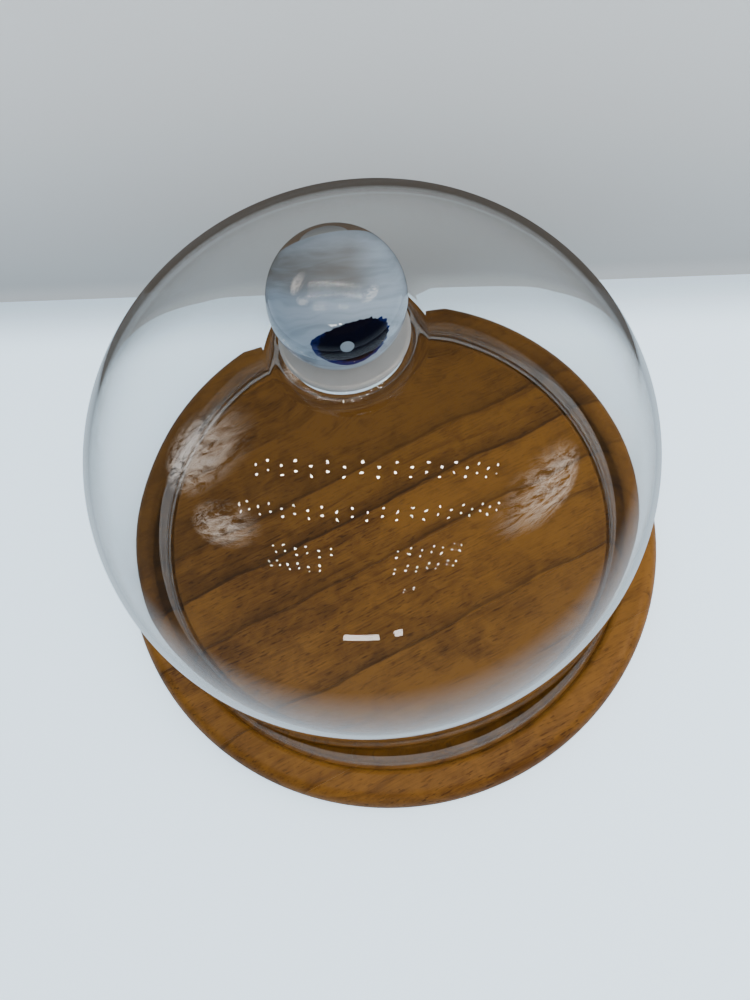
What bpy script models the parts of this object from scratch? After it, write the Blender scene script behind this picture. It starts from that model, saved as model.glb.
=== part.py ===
"""Cake stand with a glass dome.

A round board glued up from hardwood staves carries a routed channel. A blown glass dome stands
in the channel and lifts straight off by a ball knob: a clear glass casing round an opaque white
core, with a cobalt inlay and a white dot let into the core. Metres, +Z up, origin at the middle
of the board's underside.
"""

from math import asin, cos, degrees, pi, radians, sin, sqrt

import bpy
from mathutils import Matrix, Vector

MM = 0.001

# Board
BOARD_RADIUS = 150 * MM
BOARD_THICKNESS = 19 * MM
EDGE_FLAT = 1 * MM
BORDER_WIDTH = 18.2 * MM
CHANNEL_DEPTH = 4 * MM
CHANNEL_LIP_RADIUS = 3 * MM
PLATEAU_EDGE_RADIUS = 1 * MM
STAVE_ANGLE = radians(15.5)
STAVE_JOINTS = [offset * MM for offset in (-109, -68, -19, 10, 36, 78, 115)]

# Dome
DOME_HEIGHT = 191.7 * MM
SHOULDER_HEIGHT = 90.9 * MM
SHOULDER_INSET = 6.5 * MM
DOME_WALL = 3.2 * MM
FOOT_WALL = 5.6 * MM
CROWN_WALL = 5.4 * MM
CROWN_FULLNESS = 2.29
FOOT_FLARE = 2.4
PAD_RISE = 0.7 * MM
PAD_FILLET_WIDTH = 8 * MM

# Knob
KNOB_RADIUS = 21.8 * MM
KNOB_SEAT = 5 * MM
CASING_WALL = 4.3 * MM
CORE_DROP = 1 * MM
CORE_FLAT_DEPTH = 5 * MM
CORE_FLAT_TILT = radians(14.6)
FOOT_DISC_RADIUS = 22 * MM
FOOT_DISC_THICKNESS = 2.9 * MM
PAD_INSET = 1.5 * MM
INLAY_AZIMUTH = radians(-82)
INLAY_ELEVATION = radians(10)
INLAY_HALF_WIDTH = radians(38)
INLAY_HALF_HEIGHT = radians(25)
INLAY_DEPTH = 4.5 * MM
DOT_AZIMUTH = radians(-87)
DOT_ELEVATION = radians(10)
DOT_HALF_WIDTH = radians(5)
DOT_DEPTH = 1.2 * MM

# Fits
CHANNEL_CLEARANCE = 1.8 * MM
SEAT_GAP = 0.3 * MM

# Facets
BOARD_STEPS = 64
DOME_STEPS = 48
KNOB_STEPS = 28
MERGE = 0.00001

# Derived sizes
EDGE_RADIUS = (BOARD_THICKNESS - EDGE_FLAT) / 2
CHANNEL_OUTER_RADIUS = BOARD_RADIUS - BORDER_WIDTH
FOOT_RADIUS = CHANNEL_OUTER_RADIUS - CHANNEL_CLEARANCE
CHANNEL_INNER_RADIUS = FOOT_RADIUS - FOOT_WALL - CHANNEL_CLEARANCE
CHANNEL_FLOOR = BOARD_THICKNESS - CHANNEL_DEPTH
DOME_BASE = CHANNEL_FLOOR + SEAT_GAP
SHOULDER_RADIUS = FOOT_RADIUS - SHOULDER_INSET
SHOULDER_Z = DOME_BASE + SHOULDER_HEIGHT
PAD_RADIUS = FOOT_DISC_RADIUS - PAD_INSET
PAD_Z = DOME_BASE + DOME_HEIGHT
CROWN_Z = PAD_Z - PAD_RISE
DISC_Z = PAD_Z + SEAT_GAP
KNOB_BASE_Z = DISC_Z + FOOT_DISC_THICKNESS + SEAT_GAP
KNOB_CENTRE_Z = KNOB_BASE_Z + KNOB_RADIUS - KNOB_SEAT
CORE_RADIUS = KNOB_RADIUS - CASING_WALL
CORE_CENTRE = Vector((0, 0, KNOB_CENTRE_Z - CORE_DROP))


def arc(centre_x, centre_z, radius, start, end, segments):
    """Points on an arc in the XZ plane, from the start angle to the end angle, in degrees."""
    turn = radians(end - start) / segments
    angles = [radians(start) + turn * i for i in range(segments + 1)]
    return [(centre_x + radius * cos(a), centre_z + radius * sin(a)) for a in angles]


def board_profile():
    """The board's section: plateau, channel, border and rounded edge, from the axis out and back."""
    lip = CHANNEL_LIP_RADIUS
    edge = EDGE_RADIUS
    top = BOARD_THICKNESS
    ease = PLATEAU_EDGE_RADIUS
    plateau = arc(CHANNEL_INNER_RADIUS - ease, top - ease, ease, 90, 0, 2)
    border = arc(CHANNEL_OUTER_RADIUS + lip, top - lip, lip, 180, 90, 3)
    upper = arc(BOARD_RADIUS - edge, top - edge, edge, 90, 0, 5)
    lower = arc(BOARD_RADIUS - edge, edge, edge, 0, -90, 5)
    channel = [(CHANNEL_INNER_RADIUS, CHANNEL_FLOOR), (CHANNEL_OUTER_RADIUS, CHANNEL_FLOOR)]
    return [(0, top)] + plateau + channel + border + upper + lower + [(0, 0)]


def cap_height(radius, rim_radius, rim_z, top_z):
    """The height at a radius of a rounded cap that stands upright at its rim."""
    share = max(0.0, 1 - (radius / rim_radius) ** CROWN_FULLNESS)
    return rim_z + (top_z - rim_z) * share ** (1 / CROWN_FULLNESS)


def cap_points(first_radius, rim_radius, rim_z, top_z, segments):
    """Points down a rounded cap, closer together towards its rim."""
    start = (first_radius / rim_radius) ** 2
    radii = [rim_radius * sqrt(start + (1 - start) * sin(pi / 2 * i / segments)) for i in range(segments)]
    return [(r, cap_height(r, rim_radius, rim_z, top_z)) for r in radii] + [(rim_radius, rim_z)]


def pad_fillet():
    """The hollow curve by which the crown swells up to the pad under the knob."""
    end = PAD_RADIUS + PAD_FILLET_WIDTH
    end_z = cap_height(end, SHOULDER_RADIUS, SHOULDER_Z, CROWN_Z)
    points = []
    for share in (0, 0.15, 0.35, 0.6, 1):
        points.append((PAD_RADIUS + PAD_FILLET_WIDTH * share, end_z + (PAD_Z - end_z) * (1 - share) ** 2))
    return points


def dome_profile():
    """The dome's section: pad, crown and flared wall, round the foot, and up the inside."""
    bead = FOOT_WALL / 2
    wall_drop = SHOULDER_Z - DOME_BASE - bead
    outer_wall = []
    inner_wall = []
    for share in (0.25, 0.45, 0.62, 0.77, 0.9):
        radius = SHOULDER_RADIUS + SHOULDER_INSET * share**FOOT_FLARE
        wall = DOME_WALL + (FOOT_WALL - DOME_WALL) * share**4
        outer_wall.append((radius, SHOULDER_Z - wall_drop * share))
        inner_wall.append((radius - wall, SHOULDER_Z - wall_drop * share))
    foot = arc(FOOT_RADIUS - bead, DOME_BASE + bead, bead, 0, -180, 6)
    fillet = pad_fillet()
    outer_cap = cap_points(fillet[-1][0], SHOULDER_RADIUS, SHOULDER_Z, CROWN_Z, 12)[1:]
    inner_cap = cap_points(0, SHOULDER_RADIUS - DOME_WALL, SHOULDER_Z, PAD_Z - CROWN_WALL, 13)
    outside = [(0, PAD_Z)] + fillet + outer_cap + outer_wall
    return outside + foot + inner_wall[::-1] + inner_cap[::-1]


def disc_profile():
    """The knob's foot: a flat disc with a full round edge."""
    half = FOOT_DISC_THICKNESS / 2
    edge = arc(FOOT_DISC_RADIUS - half, DISC_Z + half, half, 90, -90, 6)
    return [(0, DISC_Z + FOOT_DISC_THICKNESS)] + edge + [(0, DISC_Z)]


def ball_profile(centre_z, radius, base_z, segments):
    """A ball ground flat at base_z."""
    base_angle = -degrees(asin((centre_z - base_z) / radius))
    points = arc(0, centre_z, radius, 90, base_angle, segments)
    return [(0, centre_z + radius)] + points[1:] + [(0, base_z)]


def material(name, colour, roughness, transmission=0.0):
    """A plain Principled finish."""
    made = bpy.data.materials.new(name)
    made.use_nodes = True
    shader = made.node_tree.nodes["Principled BSDF"]
    shader.inputs["Base Color"].default_value = (*colour, 1)
    shader.inputs["Roughness"].default_value = roughness
    shader.inputs["Metallic"].default_value = 0
    shader.inputs["Transmission Weight"].default_value = transmission
    return made


def clear_scene():
    for obj in list(bpy.data.objects):
        bpy.data.objects.remove(obj, do_unlink=True)


def collection(name):
    made = bpy.data.collections.new(name)
    bpy.context.scene.collection.children.link(made)
    return made


def turned(name, profile, steps, group, finish=None):
    """An object turned about +Z from a profile that runs down its outer side."""
    mesh = bpy.data.meshes.new(name)
    points = [(x, 0, z) for x, z in profile]
    mesh.from_pydata(points, [(i, i + 1) for i in range(len(points) - 1)], [])
    obj = bpy.data.objects.new(name, mesh)
    group.objects.link(obj)
    if finish:
        mesh.materials.append(finish)
    screw = obj.modifiers.new("Turn", "SCREW")
    screw.steps = steps
    screw.render_steps = steps
    screw.use_merge_vertices = True
    screw.merge_threshold = MERGE
    screw.use_smooth_shade = True
    return obj


def boolean(obj, other, operation):
    cut = obj.modifiers.new(operation.title(), "BOOLEAN")
    cut.operation = operation
    cut.solver = "EXACT"
    cut.object = other


def as_cutter(obj):
    obj.hide_render = True
    obj.display_type = "WIRE"
    return obj


def block(name, size, place, group):
    """A box-shaped cutter."""
    bpy.ops.mesh.primitive_cube_add(size=1)
    obj = bpy.context.object
    obj.name = name
    obj.data.transform(place @ Matrix.Diagonal((*size, 1)))
    for owner in list(obj.users_collection):
        owner.objects.unlink(obj)
    group.objects.link(obj)
    return as_cutter(obj)


def build_staves(parts, cutters):
    """The board, cut across into staves that run along STAVE_ANGLE."""
    finish = material("acacia", (0.36, 0.17, 0.065), 0.4)
    reach = BOARD_RADIUS * 1.1
    edges = [-reach] + STAVE_JOINTS + [reach]
    for number, (low, high) in enumerate(zip(edges, edges[1:]), start=1):
        name = f"board_stave_{number}"
        stave = turned(name, board_profile(), BOARD_STEPS, parts, finish)
        turn = Matrix.Rotation(STAVE_ANGLE, 4, "Z")
        middle = Vector((0, (low + high) / 2, BOARD_THICKNESS / 2))
        size = (2 * reach, high - low - SEAT_GAP, 2 * BOARD_THICKNESS)
        boolean(stave, block(name + "_cutter", size, turn @ Matrix.Translation(middle), cutters), "INTERSECT")


def build_dome(parts):
    finish = material("clear_glass", (0.95, 0.97, 0.97), 0.02, 1.0)
    turned("dome_shell", dome_profile(), DOME_STEPS, parts, finish)


def build_foot_disc(parts):
    finish = material("milky_glass", (0.8, 0.81, 0.8), 0.15)
    turned("knob_foot_disc", disc_profile(), KNOB_STEPS, parts, finish)


def core_blank(name, grow, group, cutters, finish=None):
    """The core: a ball ground flat below and on one side. grow makes the larger hollow for it."""
    base_z = KNOB_BASE_Z - grow
    profile = ball_profile(CORE_CENTRE.z, CORE_RADIUS + grow, base_z, 11)
    obj = turned(name, profile, KNOB_STEPS, group, finish)
    depth = 2 * KNOB_RADIUS
    distance = CORE_RADIUS - CORE_FLAT_DEPTH + grow
    place = Matrix.Translation((0, 0, KNOB_CENTRE_Z)) @ Matrix.Rotation(CORE_FLAT_TILT, 4, "X")
    place = place @ Matrix.Translation((0, distance + depth / 2, 0))
    boolean(obj, block(name + "_flat_cutter", (2 * depth, depth, 2 * depth), place, cutters), "DIFFERENCE")
    return obj


def inlay_body(name, azimuth, elevation, half_width, half_height, depth, grow, cutters):
    """An ellipsoid centred on the core's surface, facing outwards."""
    bpy.ops.mesh.primitive_uv_sphere_add(segments=18, ring_count=8, radius=1)
    obj = bpy.context.object
    obj.name = name
    outward = Vector((cos(elevation) * cos(azimuth), cos(elevation) * sin(azimuth), sin(elevation)))
    facing = outward.to_track_quat("Z", "Y").to_matrix().to_4x4()
    size = (CORE_RADIUS * sin(half_width) + grow, CORE_RADIUS * sin(half_height) + grow, depth + grow)
    place = Matrix.Translation(CORE_CENTRE + outward * CORE_RADIUS) @ facing
    obj.data.transform(place @ Matrix.Diagonal((*size, 1)))
    for owner in list(obj.users_collection):
        owner.objects.unlink(obj)
    cutters.objects.link(obj)
    return as_cutter(obj)


def build_knob(parts, cutters):
    """Casing, core, inlay and dot, each let into the one before it with SEAT_GAP all round."""
    clear = material("casing_glass", (0.95, 0.97, 0.97), 0.02, 1.0)
    white = material("white_glass", (0.66, 0.7, 0.74), 0.2)
    cobalt = material("cobalt_glass", (0.01, 0.02, 0.16), 0.15)
    dot_white = material("dot_glass", (0.6, 0.65, 0.7), 0.2)
    inlay_shape = (INLAY_AZIMUTH, INLAY_ELEVATION, INLAY_HALF_WIDTH, INLAY_HALF_HEIGHT, INLAY_DEPTH)
    dot_shape = (DOT_AZIMUTH, DOT_ELEVATION, DOT_HALF_WIDTH, DOT_HALF_WIDTH, DOT_DEPTH)

    casing_profile = ball_profile(KNOB_CENTRE_Z, KNOB_RADIUS, KNOB_BASE_Z, 13)
    casing = turned("knob_casing", casing_profile, KNOB_STEPS, parts, clear)
    hollow = as_cutter(core_blank("casing_hollow", SEAT_GAP, cutters, cutters))
    boolean(casing, hollow, "DIFFERENCE")

    core = core_blank("knob_core", 0, parts, cutters, white)
    boolean(core, inlay_body("inlay_pocket", *inlay_shape, SEAT_GAP, cutters), "DIFFERENCE")

    inlay = core_blank("knob_inlay", 0, parts, cutters, cobalt)
    boolean(inlay, inlay_body("inlay_body", *inlay_shape, 0, cutters), "INTERSECT")
    boolean(inlay, inlay_body("dot_pocket", *dot_shape, SEAT_GAP, cutters), "DIFFERENCE")

    dot = core_blank("knob_dot", 0, parts, cutters, dot_white)
    boolean(dot, inlay_body("dot_body", *dot_shape, 0, cutters), "INTERSECT")


def main():
    clear_scene()
    parts = collection("cake_stand_dome")
    cutters = collection("cutters")
    build_staves(parts, cutters)
    build_dome(parts)
    build_foot_disc(parts)
    build_knob(parts, cutters)


main()
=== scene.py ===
"""Finished look of a cake stand with a glass dome.

A round board of acacia staves carries a blown glass dome with a ball knob: clear glass over a
swirled white core, with a cobalt inlay and a white dot. Metres, +Z up, the origin in the middle
of the board's underside.
"""

from math import atan2, asin, cos, degrees, pi, radians, sin, sqrt

import bmesh
import bpy
from bpy.props import FloatProperty, FloatVectorProperty, IntProperty, PointerProperty
from mathutils import Matrix, Vector, noise


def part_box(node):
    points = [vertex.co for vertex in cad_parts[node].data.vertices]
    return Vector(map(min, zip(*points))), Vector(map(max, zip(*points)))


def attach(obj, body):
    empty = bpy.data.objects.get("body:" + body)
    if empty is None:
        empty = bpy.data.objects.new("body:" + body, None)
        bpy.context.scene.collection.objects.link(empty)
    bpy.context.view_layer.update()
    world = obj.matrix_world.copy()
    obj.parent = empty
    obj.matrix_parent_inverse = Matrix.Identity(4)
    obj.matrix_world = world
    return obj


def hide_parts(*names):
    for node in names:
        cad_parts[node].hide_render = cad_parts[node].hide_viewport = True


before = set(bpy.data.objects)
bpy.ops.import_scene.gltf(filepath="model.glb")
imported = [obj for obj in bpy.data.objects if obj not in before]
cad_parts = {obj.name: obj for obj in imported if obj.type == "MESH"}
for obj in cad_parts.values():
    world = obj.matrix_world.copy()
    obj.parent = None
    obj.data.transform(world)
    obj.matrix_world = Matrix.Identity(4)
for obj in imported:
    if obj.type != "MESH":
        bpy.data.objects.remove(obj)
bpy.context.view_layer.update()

bl_info = {
    "name": "Cake Stand Dome",
    "version": (1, 0, 0),
    "blender": (4, 5, 0),
    "location": "3D View > Sidebar > Cake Stand",
    "description": "Builds a cake stand: an acacia board, a glass dome and its ball knob",
    "category": "Add Mesh",
}

MM = 0.001
MERGE = 0.000001
GLASS_IOR = 1.5
# How much of the light that goes straight through a piece of clear glass comes out again.
STRAIGHT_SHARE = 0.96
# Where the joint that an outermost stave doesn't have is put, in millimetres.
NO_JOINT = 1000
STAVES = sorted(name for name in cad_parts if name.startswith("board_stave_"))
STAVE_JOINTS = [offset * MM for offset in (-109, -68, -19, 10, 36, 78, 115)]
# How dark the grain line along each of those joints is.
JOINT_MARKS = (0.15, 0.75, 0.8, 1.0, 0.65, 0.25, 0.1)
# Each stave's pith, as its place across the board and its depth, then its ring spacing, in millimetres,
# its tone and the strength of its lines.
STAVE_WOOD = (
    (-150, -30, 5.2, 1.0, 0.7),
    (-60, -55, 4.6, 0.98, 0.9),
    (-90, -45, 6.4, 1.02, 0.6),
    (20, -38, 7.5, 1.0, 0.5),
    (60, -60, 5.5, 0.84, 0.8),
    (40, -35, 8.0, 0.70, 0.8),
    (140, -48, 6.0, 0.68, 0.6),
    (120, -30, 5.0, 0.80, 0.8),
)


def corners(*nodes):
    """The lowest and highest corner of one or more nodes of the frame."""
    boxes = [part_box(name) for name in nodes]
    low = Vector(min(box[0][axis] for box in boxes) for axis in range(3))
    high = Vector(max(box[1][axis] for box in boxes) for axis in range(3))
    return low, high


BOARD_LOW, BOARD_HIGH = corners(*STAVES)
DOME_LOW, DOME_HIGH = corners("dome_shell")
DISC_LOW, DISC_HIGH = corners("knob_foot_disc")
BALL_LOW, BALL_HIGH = corners("knob_casing")
CORE_LOW, CORE_HIGH = corners("knob_core", "knob_inlay", "knob_dot")


# ---------------------------------------------------------------- settings


def length(name, default, description):
    """A length in metres."""
    kind = {"min": 0, "precision": 4, "unit": "LENGTH", "subtype": "DISTANCE"}
    return FloatProperty(name=name, description=description, default=default, **kind)


def angle(name, default, description):
    """An angle, given in degrees and stored in radians."""
    kind = {"precision": 2, "unit": "ROTATION", "subtype": "ANGLE"}
    return FloatProperty(name=name, description=description, default=radians(default), **kind)


def number(name, default, description, lowest=0):
    """A plain number."""
    return FloatProperty(name=name, description=description, default=default, min=lowest)


def facets(default):
    """How many facets a turned piece has."""
    return IntProperty(name="Steps", description="Facets round the piece", default=default, min=16)


def colour(name, default, description):
    """A linear colour."""
    return FloatVectorProperty(
        name=name, description=description, default=default, min=0, soft_max=1, size=3, subtype="COLOR"
    )


class CakeStandBoard(bpy.types.PropertyGroup):
    """Sizes and colours of the acacia board."""

    radius: length("Radius", BOARD_HIGH.x, "Radius of the board")
    thickness: length("Thickness", BOARD_HIGH.z, "Thickness of the board")
    edge_flat: length("Edge flat", 1 * MM, "Upright strip between the edge rounds")
    border_width: length("Border width", 18.2 * MM, "Width of the border outside the channel")
    channel_depth: length("Channel depth", 4 * MM, "Depth of the routed channel")
    channel_width: length("Channel width", 9.2 * MM, "Width of the routed channel")
    lip_radius: length("Channel lip", 3 * MM, "Round between the channel and the border")
    plateau_ease: length("Plateau edge", 1 * MM, "Round on the edge of the raised middle")
    stave_angle: angle("Stave angle", 15.5, "Direction of the staves, from +X")
    joint_gap: length("Joint gap", 0.06 * MM, "Width of a glue line")
    steps: facets(192)
    early_wood: colour("Early wood", (0.190, 0.079, 0.0105), "Light wood of the growth rings")
    late_wood: colour("Late wood", (0.078, 0.029, 0.0040), "Darker wood at the end of a ring")
    dark_line: colour("Dark line", (0.016, 0.006, 0.002), "Dark lines and pores")
    roughness: number("Roughness", 0.40, "Roughness of the oiled wood")


class CakeStandDome(bpy.types.PropertyGroup):
    """Sizes and colours of the glass dome."""

    foot_radius: length("Foot radius", DOME_HIGH.x, "Radius at the foot")
    base_height: length("Base height", DOME_LOW.z, "Height of the foot's underside")
    pad_height: length("Pad height", DOME_HIGH.z, "Height of the pad under the knob")
    shoulder_rise: length("Shoulder rise", 90.9 * MM, "Height of the wall from foot to shoulder")
    shoulder_inset: length("Shoulder inset", 6.5 * MM, "How far it stands in from the foot")
    wall: length("Wall", 3.2 * MM, "Glass thickness at the shoulder")
    foot_wall: length("Foot wall", 5.6 * MM, "Thickness of the rolled foot")
    crown_wall: length("Crown wall", 5.4 * MM, "Glass thickness under the knob")
    crown_fullness: number("Crown fullness", 2.29, "2 is an ellipse, more is fuller", 1)
    foot_flare: number("Foot flare", 2.4, "How late the wall flares to its foot", 1)
    pad_rise: length("Pad rise", 0.7 * MM, "How far the pad stands over the crown")
    pad_radius: length("Pad radius", DISC_HIGH.x - 1.5 * MM, "Radius of the pad")
    fillet_width: length("Fillet width", 8 * MM, "Width of the hollow curve round the pad")
    waviness: length("Waviness", 0.12 * MM, "How far the blown inside wanders")
    waves: number("Waves", 16, "How closely it wanders, in waves per metre")
    rim_height: length("Rim height", 2.0 * MM, "Height of the ground glass at the foot")
    steps: facets(256)
    tint: colour("Tint", (0.955, 0.97, 0.972), "Colour of the clear glass")
    rim: colour("Rim", (0.80, 0.82, 0.86), "Colour of the ground glass at the foot")


class CakeStandKnob(bpy.types.PropertyGroup):
    """Sizes and colours of the ball knob and its foot disc."""

    radius: length("Ball radius", BALL_HIGH.x, "Radius of the glass ball")
    base_height: length("Ball base", BALL_LOW.z, "Height of the ball's flat base")
    top_height: length("Ball top", BALL_HIGH.z, "Height of the ball's top")
    core_radius: length("Core radius", CORE_HIGH.x, "Radius of the white core")
    core_drop: length("Core drop", 1 * MM, "How far it sits below the ball's centre")
    core_flat: length("Core flat", 5 * MM, "Depth of the flat on the core's far side")
    core_flat_tilt: angle("Flat tilt", 14.6, "How far the flat leans upwards")
    disc_radius: length("Disc radius", DISC_HIGH.x, "Radius of the foot disc")
    disc_low: length("Disc underside", DISC_LOW.z, "Height of the foot disc's underside")
    disc_high: length("Disc top", DISC_HIGH.z, "Height of the foot disc's top")
    ball_sink: length("Ball sink", 0.4 * MM, "How far the ball melts into the disc")
    disc_sink: length("Disc sink", 0.2 * MM, "How far the disc melts into the dome's pad")
    inlay_azimuth: angle("Inlay azimuth", -84, "Direction the inlay faces")
    inlay_elevation: angle("Inlay elevation", 10, "How far up the inlay faces")
    inlay_width: angle("Inlay half width", 38, "Half its width, seen from the core's centre")
    inlay_height: angle("Inlay half height", 25, "Half its height, seen from the core's centre")
    inlay_proud: length("Inlay proud", 0.25 * MM, "How far it swells out of the core")
    inlay_depth: length("Inlay depth", 2.5 * MM, "How deep it lies in the core")
    dot_azimuth: angle("Dot azimuth", -90, "Direction the dot faces")
    dot_elevation: angle("Dot elevation", 9.5, "How far up the dot faces")
    dot_width: angle("Dot half width", 6.2, "Half its width, seen from the core's centre")
    dot_proud: length("Dot proud", 0.15 * MM, "How far it swells out of the inlay")
    dot_depth: length("Dot depth", 1 * MM, "How deep it lies in the inlay")
    steps: facets(128)
    tint: colour("Tint", (0.97, 0.98, 0.98), "Colour of the clear glass")
    white: colour("White", (0.275, 0.325, 0.39), "White streaks of the core")
    # Painted shade: this grey darkens the left of the core's upper part, where it is lit less.
    grey: colour("Grey", (0.110, 0.102, 0.094), "Grey glass in the upper part of the core")
    blue: colour("Pale blue", (0.15, 0.185, 0.225), "Pale blue glass of the core")
    # Painted reflection: the flat's brown is the wood's warm colour as it shows through the glass, painted
    # onto the flat.
    flat: colour("Flat", (0.15, 0.105, 0.075), "Colour of the flat on the core's far side")
    milk: colour("Milk glass", (0.245, 0.24, 0.232), "Colour of the foot disc")
    cobalt: colour("Cobalt", (0.0008, 0.0010, 0.005), "Deep colour of the inlay")
    cobalt_edge: colour("Cobalt edge", (0.005, 0.011, 0.075), "Brighter blue at the inlay's edge")
    dot: colour("Dot", (0.165, 0.205, 0.25), "Colour of the dot")


class CakeStandStage(bpy.types.PropertyGroup):
    """Floor, wall, lights and camera."""

    floor_size: length("Floor size", 6.0, "Side of the square floor")
    wall_distance: length("Wall distance", 172 * MM, "How far it stands behind the board's middle")
    wall_shade: length("Wall shade", 45 * MM, "How far its shade reaches over the floor")
    wall_width: length("Wall width", 2.4, "Width of the wall")
    wall_height: length("Wall height", 1.1, "Height of the wall")
    wall_turn: angle("Wall turn", -12.2, "Turn of the wall about the upright")
    floor: colour("Floor", (0.62, 0.76, 0.88), "Colour of the floor")
    floor_glow: number("Floor glow", 1.44, "Evenness added to the floor")
    wall: colour("Wall", (0.29, 0.305, 0.315), "Colour of the wall")
    wall_glow: number("Wall glow", 1.9, "Light added to the wall")
    wall_foot_glow: number("Wall foot glow", 0.5, "Light that softens it into the floor")
    led_height: length("Light row height", 0.5, "Height of the rows of small lights")
    led_turn: angle("Light turn", -3, "Turn of the rows of small lights from the wall's")
    led_spacing: length("Light spacing", 29 * MM, "Distance between two lights of a row")
    led_row_gap: length("Row gap", 21 * MM, "Distance between the two rows of a strip")
    led_zigzag: length("Zigzag", 5 * MM, "How far the lights step out of their row")
    led_radius: length("Light radius", 2.6 * MM, "Radius of a small light")
    led_strength: number("Light strength", 150, "Brightness of a small light")
    camera_place: FloatVectorProperty(
        name="Camera place",
        description="Where the camera is",
        default=(0, -0.142, 0.4184),
        size=3,
        subtype="XYZ",
    )
    camera_tilt: angle("Camera tilt", 21.33, "How far the camera looks up from straight down")
    camera_lean: angle("Camera lean", 0.409, "How far the camera leans sideways")
    camera_roll: angle("Camera roll", -12.204, "Turn of the camera about its own axis")
    lens: number("Lens", 27.036, "Focal length in millimetres", 1)
    lamp_power: number("Lamp power", 9, "Power of the overhead lamp on the right")
    sky: number("Sky", 0.30, "Strength of the even light from all round")
    mirrored_sky: number("Mirrored sky", 0.09, "Its strength in reflections")
    glow: number("Glow", 9.0, "Brightness of the speckled reflections")
    panel: number("Panel", 26.0, "Brightness of the mirrored panels")


# ---------------------------------------------------------------- profiles


def arc(centre_x, centre_z, radius, start, end, segments):
    """Points on an arc in the XZ plane, from the start angle to the end angle, in degrees."""
    turn = radians(end - start) / segments
    angles = [radians(start) + turn * i for i in range(segments + 1)]
    return [(centre_x + radius * cos(a), centre_z + radius * sin(a)) for a in angles]


def board_profile(board):
    """The board's section: plateau, channel, border and rounded edge, from the axis out and back."""
    lip = board.lip_radius
    top = board.thickness
    ease = board.plateau_ease
    edge = (board.thickness - board.edge_flat) / 2
    outer = board.radius - board.border_width
    inner = outer - board.channel_width
    floor = top - board.channel_depth
    hollow = 0.6 * MM
    plateau = arc(inner - ease, top - ease, ease, 90, 0, 6)
    channel = arc(inner + hollow, floor + hollow, hollow, 180, 270, 4)
    channel += arc(outer - hollow, floor + hollow, hollow, 270, 360, 4)
    border = arc(outer + lip, top - lip, lip, 180, 90, 10)
    upper = arc(board.radius - edge, top - edge, edge, 90, 0, 16)
    lower = arc(board.radius - edge, edge, edge, 0, -90, 16)
    return [(0, top)] + plateau + channel + border + upper + lower + [(0, 0)]


def cap_height(dome, radius, rim_radius, rim_z, top_z):
    """The height at a radius of a rounded cap that stands upright at its rim."""
    share = max(0.0, 1 - (radius / rim_radius) ** dome.crown_fullness)
    return rim_z + (top_z - rim_z) * share ** (1 / dome.crown_fullness)


def cap_points(dome, first_radius, rim_radius, rim_z, top_z, segments):
    """Points down a rounded cap, closer together towards its rim."""
    start = (first_radius / rim_radius) ** 2
    radii = [rim_radius * sqrt(start + (1 - start) * sin(pi / 2 * i / segments)) for i in range(segments)]
    return [(r, cap_height(dome, r, rim_radius, rim_z, top_z)) for r in radii] + [(rim_radius, rim_z)]


def dome_profile(dome):
    """The dome's section: pad, crown and flared wall, round the foot, and up the inside."""
    bead = dome.foot_wall / 2
    shoulder_radius = dome.foot_radius - dome.shoulder_inset
    shoulder_z = dome.base_height + dome.shoulder_rise
    crown_z = dome.pad_height - dome.pad_rise
    wall_drop = shoulder_z - dome.base_height - bead
    fillet_end = dome.pad_radius + dome.fillet_width
    fillet_z = cap_height(dome, fillet_end, shoulder_radius, shoulder_z, crown_z)
    fillet = []
    for i in range(15):
        share = i / 14
        height = fillet_z + (dome.pad_height - fillet_z) * (1 - share) ** 2
        fillet.append((dome.pad_radius + dome.fillet_width * share, height))
    outer_wall = []
    inner_wall = []
    for i in range(1, 30):
        share = i / 30
        radius = shoulder_radius + dome.shoulder_inset * share**dome.foot_flare
        wall = dome.wall + (dome.foot_wall - dome.wall) * share**4
        outer_wall.append((radius, shoulder_z - wall_drop * share))
        inner_wall.append((radius - wall, shoulder_z - wall_drop * share))
    foot = arc(dome.foot_radius - bead, dome.base_height + bead, bead, 0, -180, 16)
    outer_cap = cap_points(dome, fillet_end, shoulder_radius, shoulder_z, crown_z, 56)[1:]
    inner_top = dome.pad_height - dome.crown_wall
    inner_cap = cap_points(dome, 0, shoulder_radius - dome.wall, shoulder_z, inner_top, 60)
    outside = [(0, dome.pad_height)] + fillet + outer_cap + outer_wall
    return outside + foot + inner_wall[::-1] + inner_cap[::-1]


def disc_profile(knob):
    """The knob's foot: a flat disc with a full round edge."""
    half = (knob.disc_high - knob.disc_low) / 2
    edge = arc(knob.disc_radius - half, knob.disc_low + half, half, 90, -90, 20)
    low = knob.disc_low - knob.disc_sink
    return [(0, knob.disc_high)] + edge[:-1] + [(knob.disc_radius - half, low), (0, low)]


def ball_profile(centre_z, radius, base_z, segments):
    """A ball ground flat at base_z, with the ground edge eased."""
    ease = 0.5 * MM
    base_angle = -degrees(asin((centre_z - base_z - ease) / radius))
    points = arc(0, centre_z, radius, 90, base_angle, segments)
    last_x, last_z = points[-1]
    return [(0, centre_z + radius)] + points[1:] + [(last_x - 1.2 * ease, base_z), (0, base_z)]


# ---------------------------------------------------------------- mesh helpers


def spun(profile, steps):
    """A closed bmesh turned about +Z from a profile in the XZ plane."""
    mesh = bmesh.new()
    points = [mesh.verts.new((x, 0, z)) for x, z in profile]
    edges = [mesh.edges.new(pair) for pair in zip(points, points[1:])]
    bmesh.ops.spin(
        mesh, geom=points + edges, cent=(0, 0, 0), axis=(0, 0, 1), angle=2 * pi, steps=steps, use_merge=True
    )
    bmesh.ops.remove_doubles(mesh, verts=mesh.verts, dist=MERGE)
    bmesh.ops.recalc_face_normals(mesh, faces=mesh.faces)
    return mesh


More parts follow.
